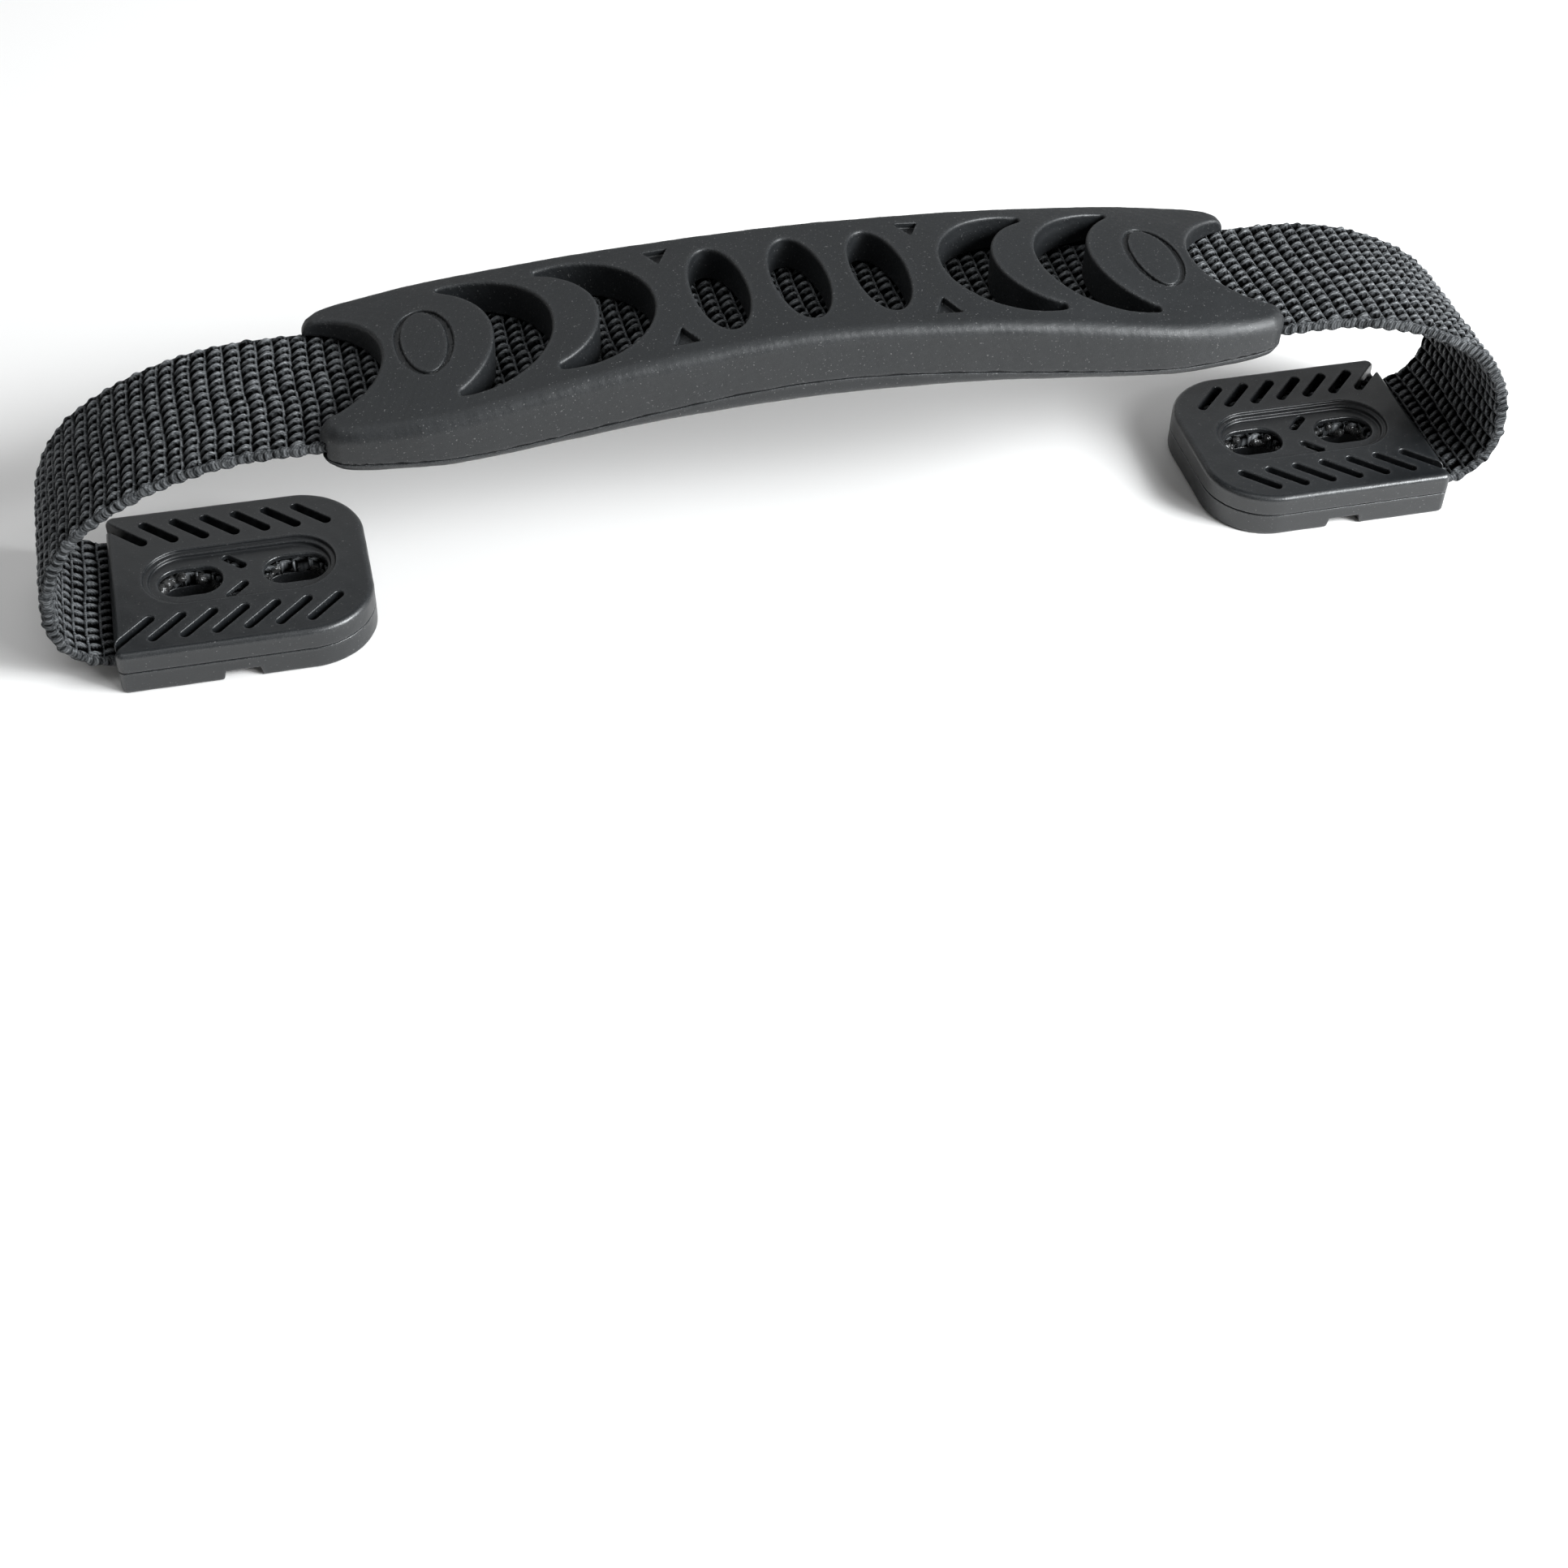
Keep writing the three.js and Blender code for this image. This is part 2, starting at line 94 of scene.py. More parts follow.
# Grip stations: distance from the middle, half width, crest height, crown drop, underside height.
GRIP_STATIONS = MM * np.array([
    [0, 13.9, 43.1, 0.2, 32.9],
    [21, 14.6, 42.55, 0.7, 32.6],
    [32, 15.3, 41.8, 1.1, 32],
    [48, 16.4, 40.2, 1.7, 31.2],
    [56, 15.9, 39.2, 1.6, 31.1],
    [62.5, 14.7, 38.2, 1.1, 31.1],
    [65, 12.9, 37.6, 0.8, 31.4],
])
GRIP_END = GRIP_STATIONS[-1, 0]
TOP_FILLET = 1.7 * MM
KEEL_FILLET = 1.6 * MM
HORN_FILLET = 0.9 * MM
WINDOW_FILLET = 0.45 * MM
OVAL_PITCH = 10.9 * MM
OVAL_SIZE = (7.2 * MM, 19 * MM)
# Crescent windows: place of the nose, width at the waist, both radii and the place of the tips.
CRESCENTS = (
    (19.7 * MM, 7.3 * MM, 11.6 * MM, 11.1 * MM, 33.9 * MM),
    (33.3 * MM, 7.6 * MM, 12.3 * MM, 13.6 * MM, 46.9 * MM),
)
BAY_RADIUS = 11.1 * MM
BAY_X = 66.7 * MM
TRIANGLE_X = 17.5 * MM
TRIANGLE_Y = (7.6 * MM, 11 * MM)
TRIANGLE_HALF = 1.7 * MM
TRIANGLE_DEPTH = 1 * MM
BADGE_X = 50 * MM
BADGE_SIZE = (6 * MM, 13.5 * MM)
BADGE_GROOVE_SIZE = (7.6 * MM, 14.4 * MM)
BADGE_DEPTH = 0.45 * MM
BAY_FILLET = 0.55 * MM
MARK_FILLET = 0.12 * MM
BADGE_FILLET = 0.16 * MM
GRIP_CHANNEL_FILLET = 0.15 * MM

# End plates.
PLATE_X = (60.3 * MM, 95.3 * MM)
PLATE_HALF_WIDTH = 15.2 * MM
PLATE_THICK = 6.6 * MM
PLATE_SPLIT = LOOP_Z - LOOP_RADIUS
PLATE_TOP_FILLET = 0.85 * MM
PLATE_FOOT_FILLET = 0.5 * MM
PLATE_INNER_CORNER = 9.3 * MM
PLATE_OUTER_CORNER = 1.2 * MM
SLOT_FIRST_X = 92.4 * MM
SLOT_PITCH = 4.2 * MM
SLOT_COUNT = 7
SLOT_Y = 10.2 * MM
SLOT_SIZE = (6.8 * MM, 1.3 * MM)
FIRST_SLOT_EXTRA = 1.6 * MM
SLOT_SLANT = math.radians(45)
SMALL_SLOT = {"x": 78.5 * MM, "y": 3 * MM, "size": (3.9 * MM, 1.2 * MM)}
RECESS_X = 77.9 * MM
RECESS_STEPS = ((26.1 * MM, 11.4 * MM, 0.5 * MM), (24.7 * MM, 10 * MM, 1.1 * MM))
RECESS_FOOT_FILLET = 0.25 * MM
RECESS_FILLET = 0.22 * MM
SLOT_FILLET = 0.2 * MM
HOLE_FILLET = 0.3 * MM
PLATE_PARTING_FILLET = 0.14 * MM
PLATE_POCKET_FILLET = 0.15 * MM
PLATE_UNEVEN = 0.018 * MM
PLATE_UNEVEN_SIZE = 6 * MM
HOLE_X = (70.35 * MM, 84.65 * MM)
HOLE_SIZE = (8.65 * MM, 5.75 * MM)
PUNCHED_SIZE = (7.8 * MM, 5 * MM)
NOTCH = {"x": 79.2 * MM, "length": 4.5 * MM, "height": 1.5 * MM, "depth": 2 * MM}
NOTCH_SLOPE = 0.25
NOTCH_FILLET = 0.25 * MM

# Melted webbing round the wall of each punched hole.
LUMP_COUNT = 22
LUMP_SIZE = (0.45, 0.95)
LUMP_SPREAD_Z = 0.7
LUMP_FLATNESS = 0.85
LUMP_JOIN = 0.35 * MM
LUMP_ROUGHNESS = 0.07 * MM

# Weave: weft pitch along the strap, warp pitch across it, and how the warp yarns lie and stray.
WEFT_PITCH = 2.2 * MM
WARP_PITCH = 0.81 * MM
WARP_RISE = 0.60 * MM
WARP_SWING = 0.27 * MM
YARN_HALF_WIDTH = 0.54 * MM
YARN_HALF_THICK = 0.48 * MM
FLOAT_CREST = 0.7
THREAD_TOP = 0.76 * MM
THREAD_HALF_WIDTH = 0.14 * MM
YARN_STRAY = 0.13 * MM
YARN_LIFT = 0.1 * MM
YARN_FULLNESS = 0.2
PIT_FLOOR = 0.3 * MM
INNER_DEPTH = 0.5
SELVEDGE_INSET = 0.45 * MM
SELVEDGE_HEIGHT = 0.75 * MM
SELVEDGE_SCALLOP = 0.14 * MM
SELVEDGE_SWAY = 0.06 * MM
ALONG_STEP = WEFT_PITCH / 14
ACROSS_STEP = WARP_PITCH / 5

# Camera: the direction it looks from, its roll, its distance and the point that it looks at.
VIEW_AZIMUTH = math.radians(-14.8806)
VIEW_ELEVATION = math.radians(44.4559)
VIEW_ROLL = math.radians(1.8417)
VIEW_DISTANCE = 389.57 * MM
VIEW_TARGET = (0.126 * MM, 0, -51.03 * MM)
VIEW_LENS = 56.24
SENSOR = 36

# Studio: the floor, the light from all round, and each softbox's place, size and power in watts.
FLOOR_REACH = 3
FLOOR_COLOUR = (0.9, 0.885, 0.87, 1)
FLOOR_ROUGHNESS = 0.9
AMBIENT = 0.2
AIM = (0, 0, 20 * MM)
LIGHT_COLOUR = (0.95, 0.98, 1)
SOFTBOXES = {
    "key": ((0.56, -0.35, 0.38), (0.3, 0.3), 10.5),
    "front": ((0.62, -0.75, 0.75), (0.5, 0.3), 6.5),
    "overhead": ((-0.2, 0.1, 1.4), (1.6, 1.2), 6),
    "back": ((0, 1.3, 0.75), (2.4, 0.5), 2),
}


# ---- camera and studio ----

def add_camera():
    azimuth, elevation = VIEW_AZIMUTH, VIEW_ELEVATION
    back = Vector((math.sin(azimuth) * math.cos(elevation),
                   -math.cos(azimuth) * math.cos(elevation), math.sin(elevation)))
    level = Vector((math.cos(azimuth), math.sin(azimuth), 0))
    upright = back.cross(level)
    right = math.cos(VIEW_ROLL) * level + math.sin(VIEW_ROLL) * upright
    up = math.cos(VIEW_ROLL) * upright - math.sin(VIEW_ROLL) * level
    camera = bpy.data.objects.new("camera", bpy.data.cameras.new("camera"))
    bpy.context.scene.collection.objects.link(camera)
    place = Vector(VIEW_TARGET) + VIEW_DISTANCE * back
    turned = Matrix((right, up, back)).transposed().to_4x4()
    camera.matrix_world = Matrix.Translation(place) @ turned
    camera.data.lens = VIEW_LENS
    camera.data.sensor_width = SENSOR
    camera.data.clip_start = 10 * MM
    camera.data.clip_end = 10
    bpy.context.scene.camera = camera


def add_softbox(name, place, size, power):
    light = bpy.data.lights.new(name, "AREA")
    light.shape = "RECTANGLE"
    light.size, light.size_y = size
    light.energy = power
    light.color = LIGHT_COLOUR
    lamp = bpy.data.objects.new(name, light)
    bpy.context.scene.collection.objects.link(lamp)
    lamp.location = place
    lamp.rotation_mode = "QUATERNION"
    lamp.rotation_quaternion = (Vector(place) - Vector(AIM)).to_track_quat("Z", "Y")


def add_studio():
    floor_mesh = bpy.data.meshes.new("floor")
    corners = [(x * FLOOR_REACH, y * FLOOR_REACH, 0) for x, y in ((-1, -1), (1, -1), (1, 1), (-1, 1))]
    floor_mesh.from_pydata(corners, [], [(0, 1, 2, 3)])
    floor = bpy.data.objects.new("floor", floor_mesh)
    bpy.context.scene.collection.objects.link(floor)
    paint = bpy.data.materials.new("floor_paint")
    paint.use_nodes = True
    surface = paint.node_tree.nodes["Principled BSDF"]
    surface.inputs["Base Color"].default_value = FLOOR_COLOUR
    surface.inputs["Roughness"].default_value = FLOOR_ROUGHNESS
    floor.data.materials.append(paint)
    world = bpy.data.worlds.new("studio")
    world.use_nodes = True
    world.node_tree.nodes["Background"].inputs["Color"].default_value = (1, 1, 1, 1)
    world.node_tree.nodes["Background"].inputs["Strength"].default_value = AMBIENT
    bpy.context.scene.world = world
    for name, (place, size, power) in SOFTBOXES.items():
        add_softbox(name, place, size, power)
    bpy.context.scene.view_settings.view_transform = "Standard"


# ---- distance fields: negative inside ----

def both(a, b, rounding):
    """Inside both shapes, with their common edge rounded."""
    over_a, over_b = a + rounding, b + rounding
    outside = np.hypot(np.maximum(over_a, 0), np.maximum(over_b, 0))
    return np.minimum(np.maximum(over_a, over_b), 0) + outside - rounding


def either(a, b, rounding):
    return -both(-a, -b, rounding)


def carve(shape, tool, rounding):
    return both(shape, -tool, rounding)


def circle(x, y, cx, radius):
    return np.hypot(x - cx, y) - radius


def oval(x, y, cx, size):
    half = np.array(size) / 2
    near = np.hypot((x - cx) / half[0], y / half[1])
    slope = np.hypot((x - cx) / half[0] ** 2, y / half[1] ** 2)
    return near * (near - 1) / np.maximum(slope, 1e-9)


def obround(x, y, cx, cy, size, turn=0.0):
    along = (x - cx) * math.cos(turn) + (y - cy) * math.sin(turn)
    across = (y - cy) * math.cos(turn) - (x - cx) * math.sin(turn)
    straight = (size[0] - size[1]) / 2
    return np.hypot(along - np.clip(along, -straight, straight), across) - size[1] / 2


def box(x, y, low, high, corner=0.0):
    """A rectangle; corner is its corner radius, one number or one for each point."""
    qx = np.abs(x - (low[0] + high[0]) / 2) - (high[0] - low[0]) / 2 + corner
    qy = np.abs(y - (low[1] + high[1]) / 2) - (high[1] - low[1]) / 2 + corner
    outside = np.hypot(np.maximum(qx, 0), np.maximum(qy, 0))
    return np.minimum(np.maximum(qx, qy), 0) + outside - corner


def waver(x, y, z, size, seed):
    """A slow unevenness between about -1 and 1, of that size in metres."""
    k = 2 * math.pi / size
    return (np.sin(k * (x + 0.31 * y) + seed) * np.cos(k * 0.83 * (y - 0.27 * z) + 2.1 * seed)
            + np.sin(k * 1.7 * (z + 0.43 * x) + 1.3 * seed) * np.cos(k * 1.3 * (x - y) + seed)) / 2


# ---- the grip ----

def station_curve(column):
    """The value in that column of the stations, smoothly along the grip."""
    x, v = GRIP_STATIONS[:, 0], GRIP_STATIONS[:, column]
    slope = np.zeros_like(v)
    slope[1:-1] = (v[2:] - v[:-2]) / (x[2:] - x[:-2])
    slope[-1] = (v[-1] - v[-2]) / (x[-1] - x[-2])

    def value(place):
        reach = np.minimum(np.abs(place), x[-1])
        i = np.clip(np.searchsorted(x, reach, side="right") - 1, 0, len(x) - 2)
        span = x[i + 1] - x[i]
        t = (reach - x[i]) / span
        a = 2 * (v[i] - v[i + 1]) + span * (slope[i] + slope[i + 1])
        b = 3 * (v[i + 1] - v[i]) - span * (2 * slope[i] + slope[i + 1])
        return ((a * t + b) * t + span * slope[i]) * t + v[i]

    return value


half_width, crest, crown, underside = (station_curve(column) for column in (1, 2, 3, 4))


def arch(x):
    """Height of the strap's middle inside the grip."""
    reach = np.minimum(1, np.abs(x) / ARCH_SPAN)
    return EXIT_Z + GRIP_ARCH * np.cos(reach * math.pi / 2) ** 2


def seam(x):
    """Height of the line where the grip's shells meet, a little under the strap's middle."""
    return arch(x) - SEAM_DROP


def grip_plan(x, y):
    wall = half_width(x)
    lean = (half_width(x + 0.5 * MM) - half_width(x - 0.5 * MM)) / MM
    return both((np.abs(y) - wall) / np.sqrt(1 + lean ** 2), np.abs(x) - GRIP_END, HORN_FILLET)


def grip_top(x, y):
    return crest(x) - crown(x) * (y / half_width(x)) ** 2


def crescent(x, y, nose, waist, outer, inner, tip):
    outer_x, inner_x = nose + outer, nose + waist + inner
    outer_y = math.sqrt(outer ** 2 - (tip - outer_x) ** 2)
    inner_y = math.sqrt(inner ** 2 - (tip - inner_x) ** 2)
    blunt = (outer_y - inner_y) / 2
    moon = np.maximum(circle(x, y, outer_x, outer), -circle(x, y, inner_x, inner))
    return both(moon, x - tip, 0.7 * blunt)


def triangle(x, y):
    tip, foot = TRIANGLE_Y
    flank = math.hypot(TRIANGLE_HALF, foot - tip)
    side = (np.abs(x - TRIANGLE_X) * (foot - tip) - (y - tip) * TRIANGLE_HALF) / flank
    return np.maximum(side, y - foot)


def uneven(shell, x, y, z, seed):
    """The grip's shell with the slight sink and ripple of moulded rubber."""
    return (shell + 0.03 * MM * waver(x, y, z, 9 * MM, seed)
            + 0.015 * MM * waver(x, y, z, 2.3 * MM, seed + 3))


def grip_cover(x, y, z):
    across, along = np.abs(y), np.abs(x)
    top = grip_top(x, y)
    shell = both(z - top, grip_plan(x, y), TOP_FILLET)
    shell = both(shell, seam(x) + PARTING / 2 - z, PARTING)
    channel = np.maximum(across - POCKET_WIDTH / 2, z - arch(x) - STRAP_THICK / 2 - POCKET_PLAY)
    shell = carve(shell, channel, PARTING)
    windows = np.minimum(oval(along, y, OVAL_PITCH, OVAL_SIZE), oval(x, y, 0, OVAL_SIZE))
    for shape in CRESCENTS:
        windows = np.minimum(windows, crescent(along, y, *shape))
    shell = carve(shell, windows, WINDOW_FILLET)
    shell = carve(shell, circle(along, y, BAY_X, BAY_RADIUS), BAY_FILLET)
    marks = both(triangle(along, across), top - TRIANGLE_DEPTH - z, PARTING / 2)
    shell = carve(shell, marks, MARK_FILLET)
    outer, inner = (oval(along, y, BADGE_X, size) for size in (BADGE_GROOVE_SIZE, BADGE_SIZE))
    groove = np.maximum(outer, -inner)
    shell = carve(shell, np.maximum(groove, top - BADGE_DEPTH - z), BADGE_FILLET)
    return uneven(shell, x, y, z, 1)


def grip_base(x, y, z):
    shell = both(underside(x) - z, grip_plan(x, y), KEEL_FILLET)
    shell = both(shell, z - seam(x) + PARTING / 2, PARTING)
    channel = np.maximum(np.abs(y) - POCKET_WIDTH / 2, arch(x) - STRAP_THICK / 2 - POCKET_PLAY - z)
    shell = carve(shell, channel, GRIP_CHANNEL_FILLET)
    return uneven(shell, x, y, z, 2)


# ---- the end plates, on the right side ----

def plate_body(x, y, z):
    middle = sum(PLATE_X) / 2
    corner = np.where(x < middle, PLATE_INNER_CORNER, PLATE_OUTER_CORNER)
    plan = box(x, y, (PLATE_X[0], -PLATE_HALF_WIDTH), (PLATE_X[1], PLATE_HALF_WIDTH), corner)
    body = both(plan, z - PLATE_THICK, PLATE_TOP_FILLET)
    return both(body, -z, PLATE_FOOT_FILLET)


def plate_pocket(x, y, z):
    flat = np.abs(z - PLATE_SPLIT) - STRAP_THICK / 2 - POCKET_PLAY
    end_play = 0.5 * MM
    return np.maximum(np.maximum(flat, np.abs(y) - POCKET_WIDTH / 2), TAIL_END_X - end_play - x)


def screw_holes(x, y):
    return np.minimum(*(obround(x, y, cx, 0, HOLE_SIZE) for cx in HOLE_X))


def plate_slots(x, y):
    across = np.abs(y)
    slots = obround(x, across, SMALL_SLOT["x"], SMALL_SLOT["y"], SMALL_SLOT["size"], SLOT_SLANT)
    for i in range(SLOT_COUNT):
        extra = FIRST_SLOT_EXTRA if i == 0 else 0
        shift = extra / 2 * math.cos(SLOT_SLANT)
        size = (SLOT_SIZE[0] + extra, SLOT_SIZE[1])
        place = (SLOT_FIRST_X - i * SLOT_PITCH + shift, SLOT_Y + shift)
        slot = obround(x, across, *place, size, SLOT_SLANT)
        slots = np.minimum(slots, slot)
    return slots


def plate_cover(x, y, z):
    shell = plate_body(x, y, z)
    for length, width, depth in RECESS_STEPS:
        outline = obround(x, y, RECESS_X, 0, (length, width))
        recess = both(outline, PLATE_THICK - depth - z, RECESS_FOOT_FILLET)
        shell = carve(shell, recess, RECESS_FILLET)
    slots = both(plate_slots(x, y), PLATE_SPLIT + STRAP_THICK / 2 - z, SLOT_FILLET / 2)
    shell = carve(shell, slots, SLOT_FILLET)
    shell = carve(shell, screw_holes(x, y), HOLE_FILLET)
    shell = both(shell, PLATE_SPLIT + PARTING / 2 - z, PLATE_PARTING_FILLET)
    shell = carve(shell, plate_pocket(x, y, z), PLATE_POCKET_FILLET)
    return shell + PLATE_UNEVEN * waver(x, y, z, PLATE_UNEVEN_SIZE, 3)


def plate_base(x, y, z):
    across = np.abs(y)
    half = NOTCH["length"] / 2
    side = np.abs(x - NOTCH["x"]) - half - NOTCH_SLOPE * (NOTCH["height"] - z)
    notch = np.maximum(side, z - NOTCH["height"])
    notch = np.maximum(notch, PLATE_HALF_WIDTH - NOTCH["depth"] - across)
    shell = carve(plate_body(x, y, z), notch, NOTCH_FILLET)
    shell = carve(shell, screw_holes(x, y), HOLE_FILLET)
    shell = both(shell, z - PLATE_SPLIT + PARTING / 2, PLATE_PARTING_FILLET)
    shell = carve(shell, plate_pocket(x, y, z), PLATE_POCKET_FILLET)
    return shell + PLATE_UNEVEN * (1 + waver(x, y, z, PLATE_UNEVEN_SIZE, 6))


# ---- meshing a distance field ----

def axis_points(low, high, step):
    count = int(math.ceil((high - low) / step)) + 1
    return low + (np.arange(count) + 0.37) * step


def surface_net(field, low, high, step, lift=None):
    """Vertices and quads of the field's surface, with one vertex in each grid cell that it crosses.
    lift(x) shears the grid upwards, so that it follows a curved piece."""
    axes = [axis_points(a - 2 * step, b + 2 * step, step) for a, b in zip(low, high)]
    raise_by = lift or (lambda x: np.zeros_like(x))
    x, y, z = np.meshgrid(*axes, indexing="ij", sparse=True)
    values = field(x, y, z + raise_by(x))
    inside = values < 0
    shape = tuple(n - 1 for n in inside.shape)
    total = np.zeros(shape + (3,), np.float32)
    hits = np.zeros(shape, np.int16)
    for axis in range(3):
        ahead = [slice(None)] * 3
        behind = [slice(None)] * 3
        ahead[axis], behind[axis] = slice(1, None), slice(None, -1)
        a, b = values[tuple(behind)], values[tuple(ahead)]
        crosses = (a < 0) != (b < 0)
        share = np.where(crosses, a / np.where(crosses, a - b, 1), 0).astype(np.float32)
        others = [k for k in range(3) if k != axis]
        for first in (0, 1):
            for second in (0, 1):
                part = [slice(None)] * 3
                part[others[0]] = slice(first, first + shape[others[0]])
                part[others[1]] = slice(second, second + shape[others[1]])
                hit = crosses[tuple(part)]
                hits += hit
                total[..., axis] += np.where(hit, share[tuple(part)], 0)
                total[..., others[0]] += first * hit
                total[..., others[1]] += second * hit
    cells = np.argwhere(hits > 0)
    number = np.full(shape, -1, np.int64)
    number[tuple(cells.T)] = np.arange(len(cells))
    offset = total[tuple(cells.T)] / hits[tuple(cells.T)][:, None]
    points = np.stack([axes[k][cells[:, k]] + step * offset[:, k] for k in range(3)], 1)
    points[:, 2] += raise_by(points[:, 0])
    quads = []
    for axis in range(3):
        ahead = [slice(None)] * 3
        behind = [slice(None)] * 3
        ahead[axis], behind[axis] = slice(1, None), slice(None, -1)
        a, b = inside[tuple(behind)], inside[tuple(ahead)]
        edges = np.argwhere(a != b)
        leaving = a[tuple(edges.T)]
        one, two = [(axis + 1) % 3, (axis + 2) % 3]
        around = []
        for d_one, d_two in ((0, 0), (-1, 0), (-1, -1), (0, -1)):
            cell = edges.copy()
            cell[:, one] += d_one
            cell[:, two] += d_two
            around.append(number[tuple(cell.T)])
        ring = np.stack(around, 1)
        quads.append(np.where(leaving[:, None], ring, ring[:, ::-1]))
    return points, np.concatenate(quads)


def gradient(field, points, reach):
    """Unit-free slope of the field at the points, by central differences."""
    slopes = []
    for axis in range(3):
        step = np.zeros(3)
        step[axis] = reach
        ahead, behind = points + step, points - step
        slopes.append((field(*ahead.T) - field(*behind.T)) / (2 * reach))
    return np.stack(slopes, 1)


def settle(field, points, step):
    """Moves the points onto the field's surface, each by less than half a cell."""
    placed = points.copy()
    for _ in range(3):
        slope = gradient(field, placed, 0.1 * step)
        size = np.maximum((slope ** 2).sum(1), 0.2)
        placed -= (field(*placed.T) / size)[:, None] * slope
        shift = placed - points
        length = np.linalg.norm(shift, axis=1, keepdims=True)
        placed = points + shift * np.minimum(1, 0.5 * step / np.maximum(length, 1e-12))
    return placed


def edge_wear(field, points, reach):
    """How convex the surface is over that reach, from 0 on flat or hollow places to 1 on an edge."""
    slope = gradient(field, points, 0.3 * reach)
    normal = slope / np.maximum(np.linalg.norm(slope, axis=1, keepdims=True), 1e-9)
    aside = np.cross(normal, [0.577, 0.577, 0.577])
    aside /= np.maximum(np.linalg.norm(aside, axis=1, keepdims=True), 1e-9)
    other = np.cross(normal, aside)
    bulge = np.zeros(len(points))
    for way in (aside, -aside, other, -other):
        bulge += field(*(points + reach * way).T)
    return np.clip(bulge / (4 * reach) * 2.5, 0, 1)


def make_object(name, points, faces, normals=None, layers=None, uv=None):
    mesh = bpy.data.meshes.new(name)
    mesh.vertices.add(len(points))
    mesh.vertices.foreach_set("co", np.ascontiguousarray(points, np.float32).ravel())
    loops = faces.shape[0] * faces.shape[1]
    mesh.loops.add(loops)
    mesh.loops.foreach_set("vertex_index", faces.astype(np.int32).ravel())
    mesh.polygons.add(len(faces))
    mesh.polygons.foreach_set("loop_start", np.arange(0, loops, faces.shape[1], dtype=np.int32))
    mesh.update(calc_edges=True)
    mesh.validate()
    mesh.polygons.foreach_set("use_smooth", np.ones(len(mesh.polygons), bool))
    for label, values in (layers or {}).items():
        attribute = mesh.attributes.new(label, "FLOAT", "POINT")
        attribute.data.foreach_set("value", values.astype(np.float32))
    if uv is not None:
        layer = mesh.uv_layers.new(name="course")
        layer.data.foreach_set("uv", uv[faces.ravel()].astype(np.float32).ravel())
    if normals is not None:
        mesh.normals_split_custom_set_from_vertices(normals.astype(np.float32))
    made = bpy.data.objects.new(name, mesh)
    bpy.context.scene.collection.objects.link(made)
    return made


def moulded(name, field, low, high, step, sign=1, lift=None):
    """A moulded piece from its field; sign -1 mirrors it to the left side."""
    points, quads = surface_net(field, low, high, step, lift)
    points = settle(field, points, step)
    normals = gradient(field, points, 0.2 * step)
    normals /= np.maximum(np.linalg.norm(normals, axis=1, keepdims=True), 1e-9)
    wear = edge_wear(field, points, WEAR_REACH)
    if sign < 0:
        points[:, 0] *= -1
        normals[:, 0] *= -1
        quads = quads[:, ::-1]
    return make_object(name, points, quads, normals, {"wear": wear})


# ---- the strap ----

def strap_course():
    """Dense samples of the strap's middle line on the right: distance, x, z and the way it heads."""
    step = COURSE_STEP
    x = np.arange(0, EXIT_X, step)
    inside = np.stack([x, arch(x)], 1)

    def bend(cx, cz, radius, start, end):
        angles = np.linspace(start, end, int(abs(end - start) * radius / step))
        return np.stack([cx + radius * np.cos(angles), cz + radius * np.sin(angles)], 1)

    side_x = LOOP_X - SIDE_RADIUS
    shoulder_x = side_x + (SIDE_RADIUS - SHOULDER_RADIUS) * math.cos(SIDE_TURN)
    loop_x = LOOP_X - LOOP_RADIUS
    shoulder = bend(shoulder_x, EXIT_Z - SHOULDER_RADIUS, SHOULDER_RADIUS, math.pi / 2, SIDE_TURN)
    side = bend(side_x, LOOP_Z + LOOP_RISE, SIDE_RADIUS, SIDE_TURN, 0)
    under = bend(loop_x, LOOP_Z, LOOP_RADIUS, 0, -math.pi / 2)
    tail_x = np.arange(loop_x, TAIL_END_X, -step)
    tail = np.stack([tail_x, np.full(len(tail_x), PLATE_SPLIT)], 1)
    line = np.concatenate([inside, shoulder[1:], side[1:], under, tail[1:]])
    distance = np.concatenate([[0], np.cumsum(np.linalg.norm(np.diff(line, axis=0), axis=1))])
    travel = np.gradient(line, axis=0)
    heading = np.unwrap(np.arctan2(travel[:, 1], travel[:, 0]))
    smooth = int(HEADING_BLUR / step)
    padded = np.pad(heading, smooth, mode="edge")
    heading = np.convolve(padded, np.ones(2 * smooth + 1) / (2 * smooth + 1), "valid")
    return distance, line[:, 0], line[:, 1], heading


COURSE = strap_course()


def course_at(distance):
    """Place and heading at signed distances from the middle of the strap; the left side mirrors."""
    reach, side = np.abs(distance), np.where(distance < 0, -1.0, 1.0)
    x, z, heading = (np.interp(reach, COURSE[0], column) for column in COURSE[1:])
    return side * x, z, side * heading


def distance_of(x, z):
    """How far along the right side's course the point nearest to (x, z) lies."""
    return float(COURSE[0][np.argmin(np.hypot(COURSE[1] - x, COURSE[2] - z))])


def yarn_noise(number, seed):
    """A repeatable random value between -1 and 1 for each whole number."""
    return 2 * np.modf(np.abs(np.sin(number * 12.9898 + seed * 78.233) * 43758.5453))[0] - 1


